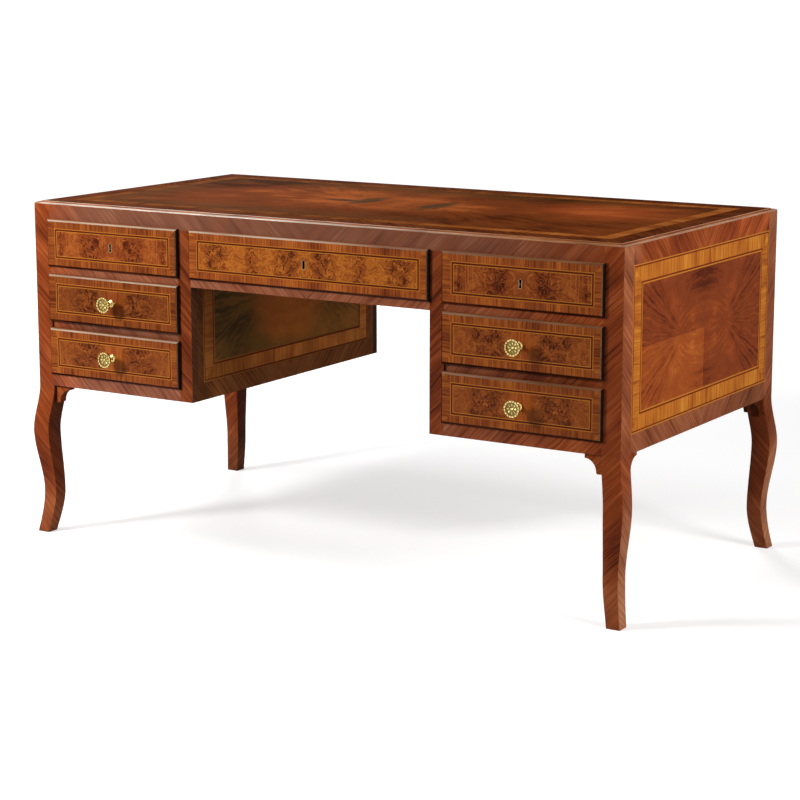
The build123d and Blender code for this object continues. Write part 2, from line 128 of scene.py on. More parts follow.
# Dark, middle and light shades of each wood, and of brass
KINGWOOD = (srgb(88, 34, 14), srgb(132, 58, 24), srgb(164, 82, 40))
# Painted sheen: pale shades that the rails and the frieze take toward their left
KINGWOOD_RAIL_PAINTED_SHEEN = (srgb(98, 48, 30), srgb(124, 68, 43), srgb(142, 86, 59))
KINGWOOD_FRIEZE_PAINTED_SHEEN = (srgb(94, 53, 38), srgb(122, 73, 52), srgb(141, 92, 68))
# Painted sheen and floor light on the legs
KINGWOOD_LEG_PAINTED_SHEEN = (srgb(118, 64, 38), srgb(166, 104, 70), srgb(192, 132, 94))
# Painted sheen of a panel border, low down and at the front
KINGWOOD_SIDE_PAINTED_SHEEN = (srgb(110, 56, 34), srgb(143, 80, 50), srgb(162, 96, 63))
TULIPWOOD = (srgb(148, 73, 28), srgb(188, 108, 36), srgb(208, 134, 48))
CROSSBAND = (srgb(94, 40, 15), srgb(136, 67, 27), srgb(168, 92, 35))
WALNUT = (srgb(76, 30, 11), srgb(138, 65, 27), srgb(176, 96, 40))
WALNUT_GOLD = (srgb(84, 38, 14), srgb(146, 74, 28), srgb(188, 108, 38))
WALNUT_BROWN = (srgb(74, 32, 12), srgb(130, 64, 26), srgb(160, 86, 35))
MAHOGANY = (srgb(86, 34, 15), srgb(132, 60, 28), srgb(166, 80, 35))
MAHOGANY_LIGHT = (srgb(116, 48, 20), srgb(158, 76, 31), srgb(188, 104, 44))
# Woods of the left kneehole panel, recoloured for the kneehole's shade: painted light and shade
KNEEHOLE = (srgb(78, 62, 31), srgb(140, 100, 45), srgb(200, 132, 58))
KNEEHOLE_BAND = (srgb(128, 74, 32), srgb(158, 94, 40), srgb(178, 112, 50))
KNEEHOLE_BORDER = (srgb(118, 66, 34), srgb(152, 92, 46), srgb(170, 108, 60))
KNEEHOLE_FRONT = (srgb(84, 46, 22), srgb(108, 62, 30), srgb(124, 76, 38))
TOP_WOOD = (srgb(74, 34, 14), srgb(118, 58, 26), srgb(168, 88, 40))
TOP_GLOW = (srgb(128, 54, 26), srgb(160, 73, 36), srgb(184, 92, 46))
TOP_EDGE = (srgb(66, 38, 18), srgb(92, 56, 28), srgb(112, 70, 36))
TOP_BAND = (srgb(98, 50, 20), srgb(130, 71, 30), srgb(152, 88, 40))
TOP_BORDER = (srgb(66, 28, 12), srgb(92, 44, 20), srgb(112, 58, 28))
LINING = (srgb(166, 122, 78), srgb(196, 154, 106), srgb(214, 176, 128))
INNER = (srgb(132, 92, 56), srgb(158, 116, 74), srgb(178, 136, 92))
ARRIS = (srgb(44, 18, 9), srgb(66, 28, 14), srgb(88, 42, 22))
# Painted highlights of the drawers' chamfers, bright and dim
ARRIS_PAINTED_HIGHLIGHT = (srgb(132, 104, 80), srgb(158, 132, 108), srgb(170, 146, 122))
ARRIS_DIM_PAINTED_HIGHLIGHT = (srgb(98, 62, 38), srgb(118, 80, 52), srgb(130, 94, 66))
MOULDING_FLAT = (srgb(118, 60, 26), srgb(158, 90, 46), srgb(178, 108, 58))
# Painted highlights of the moulding's round edge: bright, dim, and on the sides
MOULDING_PAINTED_HIGHLIGHT = (srgb(150, 134, 120), srgb(184, 168, 154), srgb(200, 186, 172))
MOULDING_DIM_PAINTED_HIGHLIGHT = (srgb(118, 76, 50), srgb(148, 102, 70), srgb(164, 118, 84))
MOULDING_SIDE_PAINTED_HIGHLIGHT = (srgb(140, 98, 74), srgb(170, 124, 98), srgb(184, 138, 112))
BRASS = (srgb(80, 60, 20), srgb(184, 154, 80), srgb(234, 216, 150))

# Single colours
ARRIS_SHADE = srgb(24, 10, 5)
ARRIS_TOP_BACK = srgb(118, 68, 38)
LINE_YELLOW = srgb(194, 120, 42)
LINE_AMBER = srgb(186, 110, 38)
LINE_DIM = srgb(168, 110, 44)
LINE_GOLD = srgb(192, 122, 42)
LINE_DARK = srgb(84, 28, 11)
LINE_RED = srgb(116, 44, 18)
TOP_WING = srgb(66, 54, 36)
LEG_SHADE = srgb(56, 30, 14)
HEART = srgb(226, 122, 50)
LOCK_RIM = srgb(150, 124, 92)
# Black of painted shade, in the keyholes and on the front left brackets
PAINTED_SHADE_BLACK = srgb(5, 3, 2)
BLACK = (0, 0, 0, 1)
WHITE = (1, 1, 1, 1)

# Shades of the fields and crossbands of the drawer fronts that differ from the rest
FRONT_SHADES = {"left_top": (0.9, 0.93), "left_middle": (0.74, 0.85), "left_bottom": (0.92, 0.94),
                "center": (0.94, 1.15), "right_top": (0.88, 1.15)}

# Dark and golden places of the burl on each kind of drawer front: how far from its middle, and
# the half width
TOP_DRAWER_DARK, TOP_DRAWER_GOLDEN = [(58, 42), (152, 14)], [(112, 24)]
CENTER_DRAWER_DARK, CENTER_DRAWER_GOLDEN = [(48, 42), (140, 22), (236, 40)], [(100, 24), (182, 28)]
LOWER_DRAWER_DARK = [(78, 56)]
EYE_PLACE = (45, 6)

# Patches of the matched veneers: the middle and the half lengths of each
PANEL_HEART = (0, -40, 150, 90)
TOP_WARM_PATCH = (505, 125, 220, 170)
TOP_LIGHT_PATCH = (-70, 80, 420, 240)

# Dark patches of the top, each with its seed and strength, and the pieces of its two wings
TOP_DARK_PATCHES = [((230, 200, 190, 170), 64, 0.11), ((330, -190, 260, 130), 65, 0.07),
                    ((-560, 230, 200, 170), 66, 0.1), ((640, 280, 100, 180), 68, 0.08)]
TOP_WING_PATCHES = [((-100, 20, 32, 88), 71), ((94, 4, 34, 92), 72), ((-152, -2, 58, 24), 73)]
WING_RAGGEDNESS = 1.6

# Painted light on the legs, a sheen on their outward faces and floor light on their feet: between
# which heights each stretch of it grows, and its strength
LEG_PAINTED_SHEEN = [(330, 180, 0.7), (300, 420, 0.28), (640, 780, 0.25)]
FOOT_PAINTED_FLOOR_LIGHT = [(170, 30, 0.25)]


class Signal:
    """A value in a material's nodes. Arithmetic on signals adds math nodes."""

    def __init__(self, graph, socket):
        self.graph = graph
        self.socket = socket

    def __add__(self, other):
        return self.graph.math("ADD", self, other)

    def __radd__(self, other):
        return self.graph.math("ADD", other, self)

    def __sub__(self, other):
        return self.graph.math("SUBTRACT", self, other)

    def __rsub__(self, other):
        return self.graph.math("SUBTRACT", other, self)

    def __mul__(self, other):
        return self.graph.math("MULTIPLY", self, other)

    def __rmul__(self, other):
        return self.graph.math("MULTIPLY", other, self)

    def __truediv__(self, other):
        return self.graph.math("DIVIDE", self, other)

    def __abs__(self):
        return self.graph.math("ABSOLUTE", self)


class Nodes:
    """The nodes of a tree, and what can be done with their signals."""

    def __init__(self, tree):
        self.tree = tree

    def node(self, kind, **settings):
        node = self.tree.nodes.new(kind)
        for key, value in settings.items():
            setattr(node, key, value)
        return node

    def feed(self, socket, value):
        """Links a signal to a socket, or sets the socket to a number or colour."""
        if isinstance(value, Signal):
            self.tree.links.new(value.socket, socket)
        else:
            socket.default_value = value

    def feed_shader(self, **values):
        """Feeds sockets of the shader, named with underscores for spaces."""
        shader = self.tree.nodes["Principled BSDF"]
        for name, value in values.items():
            self.feed(shader.inputs[name.replace("_", " ")], value)

    def math(self, operation, *values):
        node = self.node("ShaderNodeMath", operation=operation)
        for socket, value in zip(node.inputs, values):
            self.feed(socket, value)
        return Signal(self, node.outputs[0])

    def split(self, vector):
        node = self.node("ShaderNodeSeparateXYZ")
        self.tree.links.new(vector, node.inputs[0])
        return [Signal(self, output) for output in node.outputs]

    def noise(self, x, y, z, detail=2, roughness=0.5):
        """Soft noise about 0.5, with features about one unit wide."""
        vector = self.node("ShaderNodeCombineXYZ")
        for socket, value in zip(vector.inputs, (x, y, z)):
            self.feed(socket, value)
        node = self.node("ShaderNodeTexNoise")
        self.tree.links.new(vector.outputs[0], node.inputs["Vector"])
        for key, value in (("Scale", 1), ("Detail", detail), ("Roughness", roughness)):
            node.inputs[key].default_value = value
        return Signal(self, node.outputs["Fac"])

    def clouds(self, u, v, length, width, seed, detail=2, roughness=0.5):
        """Soft noise about 0, with features of one length along u and one width along v."""
        return self.noise(u / length, v / width, seed, detail, roughness) - 0.5

    def ramp(self, value, low, high, kind="SMOOTHSTEP"):
        """0 up to low and 1 from high on, with a smooth or a LINEAR rise between."""
        node = self.node("ShaderNodeMapRange", interpolation_type=kind)
        for socket, entry in zip(node.inputs, (value, low, high)):
            self.feed(socket, entry)
        return Signal(self, node.outputs[0])

    def ramps(self, value, steps):
        """The sum of ramps, each from one value to another and with a strength."""
        return sum(self.ramp(value, low, high) * strength for low, high, strength in steps)

    def bump_up(self, value, middle, half_width):
        """1 at the middle and 0 from the half width outward."""
        core = 0.3
        return self.ramp(abs(value - middle), half_width, half_width * core)

    def strongest(self, value, places):
        """1 at the middles of places and 0 outside their half widths."""
        strength = 0
        for middle, half_width in places:
            strength = self.larger(strength, self.bump_up(value, middle, half_width))
        return strength

    def blend(self, share, first, second):
        """A colour between two others."""
        node = self.node("ShaderNodeMix", data_type="RGBA")
        self.feed(node.inputs[0], share)
        self.feed(node.inputs[6], first)
        self.feed(node.inputs[7], second)
        return Signal(self, node.outputs[2])

    def choose(self, share, first, second):
        """A number between two others."""
        return first + (second - first) * share

    def larger(self, first, second):
        return self.math("MAXIMUM", first, second)

    def smaller(self, first, second):
        return self.math("MINIMUM", first, second)

    def over(self, first, second):
        """1 where the first is more than the second, else 0."""
        return self.math("GREATER_THAN", first, second)

    def reach(self, across, upward):
        """How far a place is from a middle."""
        return self.math("SQRT", across * across + upward * upward)

    def seen(self):
        """1 for rays that come from the camera, or by a mirror or glass, else 0."""
        rays = self.node("ShaderNodeLightPath").outputs
        camera_ray, glossy_ray, glass_ray = (Signal(self, rays[kind]) for kind in (
            "Is Camera Ray", "Is Glossy Ray", "Is Transmission Ray"))
        return self.larger(self.larger(camera_ray, glossy_ray), glass_ray)


class Graph(Nodes):
    """The nodes of one material, with the surface's own place in millimetres."""

    def __init__(self, name):
        self.material = bpy.data.materials.new(name)
        self.material.use_nodes = True
        super().__init__(self.material.node_tree)
        coordinates = self.node("ShaderNodeTexCoord").outputs
        x, y, z = self.split(coordinates["Object"])
        self.x, self.y, self.z = x * MM, (y - MIDDLE_Y) * MM, z * MM
        self.right, back, self.up = self.split(coordinates["Normal"])
        self.facing_x, self.facing_y, self.facing_z = abs(self.right), abs(back), abs(self.up)

    def turned(self, facing):
        """1 where the surface has turned to one way, and 0 where it has turned from it."""
        return self.ramp(facing, 0.4, 0.6)

    def colour(self, tone, shades):
        """A wood's colour from dark through middle to light."""
        dark, middle, light = shades
        darker = self.blend(self.ramp(tone, TONE_DARK, TONE_MIDDLE), dark, middle)
        return self.blend(self.ramp(tone, TONE_MIDDLE, TONE_LIGHT), darker, light)

    def emboss(self, height, strength, depth):
        """Fine relief of the surface, with its depth in metres."""
        bump = self.node("ShaderNodeBump")
        bump.inputs["Strength"].default_value = strength
        bump.inputs["Distance"].default_value = depth
        self.feed(bump.inputs["Height"], height)
        self.feed_shader(Normal=Signal(self, bump.outputs[0]))

    def finish(self, colour, height, gloss=0.08, roughness=0.45):
        """Polished wood: its colour, pores that follow the grain, and a clear coat."""
        spread, coat_roughness = 0.08, 0.12
        ground = self.choose(height, roughness + spread, roughness - spread)
        self.feed_shader(Base_Color=colour, Roughness=ground, Specular_IOR_Level=0,
                         Coat_Weight=gloss, Coat_Roughness=coat_roughness)
        self.emboss(height, *PORES)
        return self.material


# In what follows, g is the graph of a material, u and v are places on one of its faces, and a tone
# goes from 0 for dark to 1 for light
def grain(g, along, across, seed, width=9, contrast=1):
    """Tone of streaks that run along the wood."""
    waviness, level = 16, 0.515
    moved = across + g.noise(along / 110, across / 45, seed, detail=1) * waviness
    broad = g.clouds(along, moved, 300, width, seed + 3, detail=3, roughness=0.65)
    fine = g.clouds(along, moved, 80, 2.4, seed + 5)
    cloud = g.clouds(along, across, 120, 60, seed + 6, detail=1)
    vein = g.ramp(g.noise(along / 260, moved / 3.4, seed + 8, detail=1), 0.62, 0.7)
    return (broad * 0.75 + fine * 0.6 + cloud * 0.6 - vein * 0.17) * contrast + level


def diagonal(g, seed, slant=1, contrast=1, width=8):
    """Tone of streaks at 45 degrees. A slant of -1 turns them over on front and back faces."""
    looks_sideways = g.over(g.facing_x, g.facing_y)
    looks_up = g.over(g.facing_z, 0.8)
    sideways = g.choose(looks_up, g.choose(looks_sideways, abs(g.x), abs(g.y)), abs(g.x))
    upward = g.choose(looks_up, g.z, abs(g.y))
    leaning = sideways * g.choose(looks_sideways, slant, 1)
    root = math.sqrt(1 / 2)
    return grain(g, (leaning + upward) * root, (leaning - upward) * root, seed, width, contrast)


def kingwood(name, seed, shade=1, contrast=1, width=8):
    """Kingwood of the stiles and the back, dark where it faces sideways."""
    g = Graph(name)
    tone = diagonal(g, seed, 1, contrast, width)
    face = g.colour(tone, shaded(KINGWOOD, shade))
    side = g.colour(tone, shaded(KNEEHOLE_FRONT, 0.65))
    return g.finish(g.blend(g.turned(g.facing_x), face, side), tone)


def leg_wood(name, seed, slant=1, shade=1):
    """Kingwood of the legs, with a painted sheen where they face outward, painted floor light near
    the feet, and painted shade where they face inward.
    """
    g = Graph(name)
    tone = diagonal(g, seed, slant, 0.75)
    outward, inward = (g.ramp(g.right * g.x, way * 300, way * 500) for way in (1, -1))
    above_foot = g.ramp(g.z, 100, 330)
    # Painted shade on faces that look inward, stronger above the foot
    dark = inward * (above_foot * 0.35 + 0.3)
    ground = g.blend(dark, g.colour(tone, shaded(KINGWOOD, shade)), LEG_SHADE)
    # Painted sheen on faces that look outward, and painted floor light near the feet
    wear_and_painted_sheen = outward * g.ramps(g.z, LEG_PAINTED_SHEEN) + g.ramps(g.z, FOOT_PAINTED_FLOOR_LIGHT)
    return g.finish(g.blend(wear_and_painted_sheen, ground, g.colour(tone, KINGWOOD_LEG_PAINTED_SHEEN)), tone)


def bracket_wood():
    """Kingwood of the brackets, with painted shade at the back and a painted shadow line round the
    front left ones.
    """
    g = Graph("kingwood_bracket")
    tone = diagonal(g, 17)
    # Painted shade: the brackets at the back are darker
    front, back = (g.colour(tone, shaded(KINGWOOD, share)) for share in (1, 0.3))
    rear = g.ramp(g.y, 0, 200)
    wood = g.blend(rear, front, back)
    # Painted shadow: a black line along the top and the post side of the front left brackets
    shadow_line_width, soft = 5, 1
    above, beside = (g.ramp(place, end - shadow_line_width, end - shadow_line_width + soft)
                     for place, end in ((g.z, BRACKET_TOP), (abs(g.x), POST_INNER)))
    joint = g.larger(above, beside) * g.over(0, g.x) * g.over(0, g.y)
    return g.finish(g.blend(joint * 0.8, wood, PAINTED_SHADE_BLACK), tone, 0.04)


def kingwood_rail(name, seed, shade=1, sheen=KINGWOOD_RAIL_PAINTED_SHEEN, warm_from=150, contrast=1, width=9):
    """Kingwood of the rails and the frieze, with a painted sheen and a coat, both fading to the
    right.
    """
    g = Graph(name)
    tone = diagonal(g, seed, 1, contrast, width)
    pale, deep = (g.colour(tone, shaded(shades, shade)) for shades in (sheen, KINGWOOD))
    # Painted sheen: pale toward the left, deep to the right and at the left end, uneven between
    right, left_end = g.ramp(g.x, warm_from, 900), g.ramp(g.x, -600, -700)
    uneven = g.noise((g.x - g.z) / 70, (g.x + g.z) / 150, seed) - 0.46
    warm = right + left_end * 0.8 + uneven * 0.9
    fade = g.ramp(g.x, -300, 700)
    return g.finish(g.blend(warm, pale, deep), tone, g.choose(fade, 0.25, 0.05))


def lengthwise_wood(name, seed, shades, gloss, width=9):
    """Solid wood with its grain from front to back."""
    g = Graph(name)
    tone = grain(g, g.y, g.x + g.z, seed, width)
    return g.finish(g.colour(tone, shades), tone, gloss)


def moulding_wood():
    """The edge moulding, with its grain along each length, and a gloss and a painted highlight on
    its round edge, the painted highlight dimming to the right along the front.
    """
    g = Graph("moulding")
    runs_back = g.over(abs(g.x), PANEL_INNER)
    along = g.choose(runs_back, g.x, g.y)
    across = g.choose(runs_back, g.y, g.x) + g.z
    tone = grain(g, along, across, 31, 5)
    flat, bright, dull, side = (g.colour(tone, shades) for shades in (
        MOULDING_FLAT, MOULDING_PAINTED_HIGHLIGHT, MOULDING_DIM_PAINTED_HIGHLIGHT, MOULDING_SIDE_PAINTED_HIGHLIGHT))
    off_side, off_top = g.ramp(g.up, 0.1, 0.25), g.ramp(g.up, 0.99, 0.93)
    rounded = off_side * off_top
    fade = g.ramp(g.x, -100, 600)
    # Painted highlight on the round edge, dimming to the right along the front
    edge = g.blend(runs_back, g.blend(fade, bright, dull), side)
    return g.finish(g.blend(rounded, flat, edge), tone, rounded * 0.3)


def banded(g, distance, ground, bands):
    """Lays bands of colour over the ground, each from its own distance outward."""
    soft = 0.3
    colour = ground
    for start, band in bands:
        colour = g.blend(g.ramp(distance, start - soft, start + soft), colour, band)
    return colour


def crossband(g, beyond_side, beyond_end, run_side, run_end, seed, width=12):
    """Tone of streaks square to the nearest edge of a frame."""
    at_end = g.over(beyond_end, beyond_side)
    run = g.choose(at_end, run_side, run_end)
    depth = g.larger(beyond_side, beyond_end)
    return grain(g, depth, run, seed, width)


def burl(g, u, v, seed, dark_places, golden_places=()):
    """Tone of burl: warped clouds with curls and fine figure."""
    warp, level = 46, 0.58
    a = u + g.clouds(u, v, 30, 30, seed) * warp
    b = v + g.clouds(u, v, 30, 30, seed + 9) * warp
    clouds = g.clouds(a, b, 24, 22, seed + 1, detail=4, roughness=0.65)
    curls = g.math("SINE", g.noise(a / 30, b / 26, seed + 2, detail=1) * 60)
    fine = g.clouds(a, b, 3.5, 5, seed + 3)
    cluster = g.strongest(u * 0.6 + a * 0.4, dark_places)
    golden = g.strongest(u * 0.7 + a * 0.3, golden_places)
    squiggles = g.ramp(g.noise(a / 6, b / 5, seed + 4), 0.5, 0.64) * (cluster * 0.2 + 0.05)
    tone = clouds * (cluster * 0.45 + 0.5) + curls * 0.03 + fine * 0.45
    return tone - squiggles - cluster * 0.07 + golden * 0.05 + level


def eye(g, u, v):
    """Rings of a small knot, to take from a tone."""
    middle_u, middle_v = EYE_PLACE
    ring_gap, inner_reach, outer_reach = 5, 8, 17
    reach = g.reach(u - middle_u, v - middle_v) + g.noise(u / 6, v / 6, 7) * 3
    rings = g.math("SINE", reach * (math.tau / ring_gap)) * 0.13 + 0.1
    return rings * g.ramp(reach, outer_reach, inner_reach)


def top_drawer_field(g, u, v, seed):
    """Two dark clouds round a pair of eyes, and upright streaks at the ends."""
    at_ends = g.ramp(u, 80, 125)
    streaks = g.clouds(u, v, 3.5, 150, seed + 5) * at_ends
    tone = burl(g, u, v, seed, TOP_DRAWER_DARK, TOP_DRAWER_GOLDEN) * 0.9 + 0.04
    return g.colour(tone + streaks * 0.5 - eye(g, u, v), WALNUT)


def center_drawer_field(g, u, v, seed):
    """Golden burl with evenly spaced dark clusters."""
    return g.colour(burl(g, u, v, seed, CENTER_DRAWER_DARK, CENTER_DRAWER_GOLDEN), WALNUT_GOLD)


def lower_drawer_field(g, u, v, seed):
    """Small dark curls on both sides of a plain, redder joint."""
    figured = g.colour(burl(g, u, v, seed, LOWER_DRAWER_DARK), WALNUT_BROWN)
    plain = g.colour(grain(g, v, u, seed + 6, 5), MAHOGANY_LIGHT)
    at_joint = g.ramp(u, 30, 18)
    return g.blend(at_joint * 0.7, figured, plain)


def front_veneer(g, name, seed):
    """Matched burl with double stringing and a crossband, and the tone of the crossband."""
    low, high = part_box("drawer_" + name + "_front")
    u = abs(g.x - ((low.x + high.x) / 2 * MM + FIELD_SHIFT))
    v = g.z - (low.z + high.z) / 2 * MM
    if name == "center":
        field = center_drawer_field(g, u, v, seed)
    elif name.endswith("top"):
        field = top_drawer_field(g, u, v, seed)
    else:
        field = lower_drawer_field(g, u, v, seed)
    beyond_x = u - ((high.x - low.x) / 2 * MM - FIELD_MARGIN_X)
    beyond_z = abs(v) - ((high.z - low.z) / 2 * MM - FIELD_MARGIN_Z)
    field_shade, band_shade = FRONT_SHADES.get(name, (1, 1))
    field = g.blend(1 - field_shade, field, BLACK)
    band_tone = crossband(g, beyond_x, beyond_z, g.z, g.x, seed + 20, 8)
    band = g.colour(band_tone, shaded(CROSSBAND, band_shade))
    bands = [(0, LINE_GOLD), (BETWEEN_LINES, LINE_DARK), (OUTER_LINE, LINE_AMBER),
             (DRAWER_BAND, band)]
    return banded(g, g.larger(beyond_x, beyond_z), field, bands), band_tone


def front_marquetry(name, seed):
    """Drawer front: its veneer, a chamfer with a painted highlight on top that dims to the right,
    a duller painted highlight and a painted shadow on the right, dark elsewhere, bare wood behind
    the lip, and painted black shade in the keyhole."""
    g = Graph("front_" + name)
    flat, band_tone = front_veneer(g, name, seed)
    depth = g.y - FRONT_FACE
    edge_tone = grain(g, g.x, g.z, seed + 40, 6)
    dark, bright, dull, bare = (g.colour(edge_tone, shades)
                                for shades in (ARRIS, ARRIS_PAINTED_HIGHLIGHT, ARRIS_DIM_PAINTED_HIGHLIGHT, INNER))
    fade = g.ramp(g.x, -100, 250)
    top_lit, right_lit = g.ramp(depth, 3.6, 2.8), g.ramp(depth, 2.4, 1.6)
    # Painted highlight on the front part of the top chamfer, dimming to the right, and on the front
    # part of the right chamfer, with painted shadow behind it
    top_edge = g.blend(top_lit, ARRIS_TOP_BACK, g.blend(fade, bright, dull))
    right_edge = g.blend(right_lit, ARRIS_SHADE, dull)
    faces_up, chamfer = g.turned(g.up), g.ramp(g.facing_y, 0.97, 0.8)
    edge = g.blend(faces_up, g.blend(g.turned(g.right), dark, right_edge), top_edge)
    behind = g.ramp(depth, LIP - 0.2, LIP + 0.2)
    colour = g.blend(behind, g.blend(chamfer, flat, edge), bare)
    lock_half_width, lock_half_height = 12, 14
    beside_lock = g.smaller(abs(g.x), abs(abs(g.x) - LOCK_X))
    near_lock = g.over(lock_half_width, beside_lock) * g.over(lock_half_height, abs(g.z - LOCK_Z))
    inside = g.ramp(depth, 0.3, 0.6)
    # Painted shade: black on the drawer front inside the keyhole
    colour = g.blend(near_lock * inside, colour, PAINTED_SHADE_BLACK)
    gloss = faces_up * top_lit * g.choose(fade, 0.2, 0.05) + 0.08
    return g.finish(colour, band_tone, gloss)


def fan_figure(g, u, v, seed, spread=1, edge=0.03):
    """Tone of long streaks that fan out beyond two foci and lie level between them."""
    warp = 20 * spread
    moved_u = u + g.clouds(u, v, 60, 50, seed + 7) * warp
    moved_v = v + g.clouds(u, v, 60, 50, seed + 8) * warp
    off_focus = moved_u - FOCUS
    turn = g.math("ARCTAN2", moved_v, off_focus)
    reach = g.reach(off_focus, moved_v)
    away = g.ramp(reach, -30, 60)
    upright, turned_back = 1.1, 1.5
    broad = g.clouds(turn, reach, spread / 9, 500, seed, detail=3, roughness=0.65) * away
    fine = g.clouds(turn, reach, spread / 32, 150, seed + 4) * away
    calmer = g.choose(g.ramp(turn, 0.4, upright), 1, 0.6)
    bright_edge = g.bump_up(turn, upright, 0.4) * away * edge
    fan = (broad * 0.42 + fine * 0.5) * calmer + bright_edge
    share = moved_u / FOCUS
    sag = moved_v + share * share * share * share * 24
    level = g.clouds(u, sag, 150, 9 * spread, seed + 1, detail=3, roughness=0.6) * 0.36
    cloud = g.clouds(u, v, 70 * spread, 55 * spread, seed + 5, detail=3)
    mottle = g.clouds(u, v, 9 * spread, 5 * spread, seed + 6)
    figure = g.choose(g.ramp(turn, upright, turned_back), fan, level)
    return figure + cloud * 0.55 + mottle * 0.15 + 0.5


def patch(g, u, v, place, seed, raggedness=0.9):
    """A soft patch of veneer with a ragged edge, 1 inside and 0 outside."""
    middle_u, middle_v, half_u, half_v = place
    across, along = (u - middle_u) / half_u, (v - middle_v) / half_v
    ragged = g.clouds(u, v, half_u / 2.5, half_v / 2.5, seed, detail=3) * raggedness
    return g.ramp(across * across + along * along + ragged, 1.4, 0.1)


def panel_edge(g, v, seed, border, low, front, rear_light):
    """Kingwood border of a panel, which changes to the rear, downward and at the front."""
    tone = diagonal(g, seed)
    rear = g.ramp(g.y, -100, 250)
    upper, lower = (g.blend(rear, g.colour(tone, shades), g.colour(tone, shaded(shades, share)))
                    for shades, share in ((border, 1.3), (low, 0.78 * math.sqrt(rear_light))))
    # On panels with the open woods the lower part and the front take a painted sheen
    downward = g.ramp(v, 40, -150)
    at_front = g.ramp(g.y, 60 - PANEL_HALF_RUN, -PANEL_HALF_RUN)
    return g.blend(at_front, g.blend(downward, upper, lower), g.colour(tone, front))


def panel_marquetry(name, seed, woods, spread=1, contrast=1, arch=0, lift=0, heart=0, rear_light=1):
    """Side or kneehole panel: quarter-matched field, stringing, crossband and a kingwood border."""
    g = Graph(name)
    v = g.z - PANEL_MIDDLE_Z
    beyond_y = abs(g.y) - (PANEL_HALF_RUN - PANEL_BORDER)
    beyond_z = abs(v) - PANEL_FIELD_HALF_HEIGHT
    under_arch = g.bump_up(abs(g.y), 0, 170) * g.ramp(v, 10, PANEL_FIELD_HALF_HEIGHT)
    # lift paints the panel lighter toward the rear and darker toward the front
    inward = g.ramp(g.y, -250, 50) - 0.5
    figure = fan_figure(g, abs(g.y), abs(v), seed, spread) - 0.5
    tone = figure * contrast - under_arch * arch + inward * lift + 0.5
    light_quarter = g.over(LIGHT_QUARTER_EXTRA, g.y) * g.over(0, v)
    field = g.blend(light_quarter, g.colour(tone, woods["dark"]), g.colour(tone, woods["light"]))
    field = g.blend(patch(g, g.y, v, PANEL_HEART, seed + 2) * heart, field, HEART)
    band_tone = crossband(g, beyond_y, beyond_z, g.z, g.y, seed + 20)
    # rear_light paints more light on the band and the low border toward the rear
    front_band, rear_band = (g.colour(band_tone, shaded(woods["band"], share))
                             for share in (1, rear_light))
    rear = g.ramp(g.y, -330, -20)
    band = g.blend(rear, front_band, rear_band)
    edge = panel_edge(g, v, seed + 30, woods["border"], woods["low"], woods["front"], rear_light)
    line = woods["line"]
    bands = [(0, line), (PANEL_LINE, LINE_RED), (PANEL_BAND, band), (PANEL_BAND_END, LINE_RED),
             (PANEL_BAND_END + PANEL_LINE, line), (PANEL_BORDER, edge)]
    distance = g.larger(beyond_y, beyond_z)
    past_lines = g.over(distance, 8)
    pores = g.choose(past_lines, tone, band_tone)
    return g.finish(banded(g, distance, field, bands), pores, 0.04)


def top_field(g, distance):
    """The top's matched veneer with its patches and dark wings, and its tone."""
    warm = patch(g, g.x, g.y, TOP_WARM_PATCH, 63)
    light = patch(g, g.x, g.y, TOP_LIGHT_PATCH, 62) * 0.13 + warm * 0.06
    dark = sum(patch(g, g.x, g.y, place, seed) * strength
               for place, seed, strength in TOP_DARK_PATCHES)
    tone = (fan_figure(g, abs(g.x), abs(g.y), 61, 2.2, 0) - 0.5) * 0.6 + light - dark + 0.47
    field = g.blend(warm * 0.65, g.colour(tone, TOP_WOOD), g.colour(tone + 0.06, TOP_GLOW))
    rim = g.ramp(distance, -150, 0) * g.ramp(g.x - g.y, 900, 100)
    field = g.blend(rim * 0.8, field, g.colour(tone, TOP_EDGE))
    wings = 0
    for place, seed in TOP_WING_PATCHES:
        wings = g.larger(wings, patch(g, g.x, g.y, place, seed, WING_RAGGEDNESS))
    return g.blend(wings * 0.8, field, TOP_WING), tone


def top_marquetry():
    """Top: quarter-matched field with two dark wings, a light band and a dark border."""
    low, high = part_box("top_board")
    g = Graph("top")
    beyond_x = abs(g.x) - ((high.x - low.x) / 2 * MM - TOP_MARGIN_X)
    beyond_y = abs(g.y) - ((high.y - low.y) / 2 * MM - TOP_MARGIN_Y)
    distance = g.larger(beyond_x, beyond_y)
    field, tone = top_field(g, distance)
    band_tone = crossband(g, beyond_x, beyond_y, g.y, g.x, 67)
    dull, bright = (g.colour(band_tone, shaded(TOP_BAND, share)) for share in (0.75, 1.5))
    right, fade = g.ramp(g.x, 0, 700), g.ramp(g.x, -700, 500)
    bands = [(0, g.blend(right, dull, bright)),
             (TOP_BAND_WIDTH, g.colour(diagonal(g, 69), TOP_BORDER))]
    gloss = g.choose(fade, 0.018, 0)
    return g.finish(banded(g, distance, field, bands), tone, gloss, roughness=0.35)


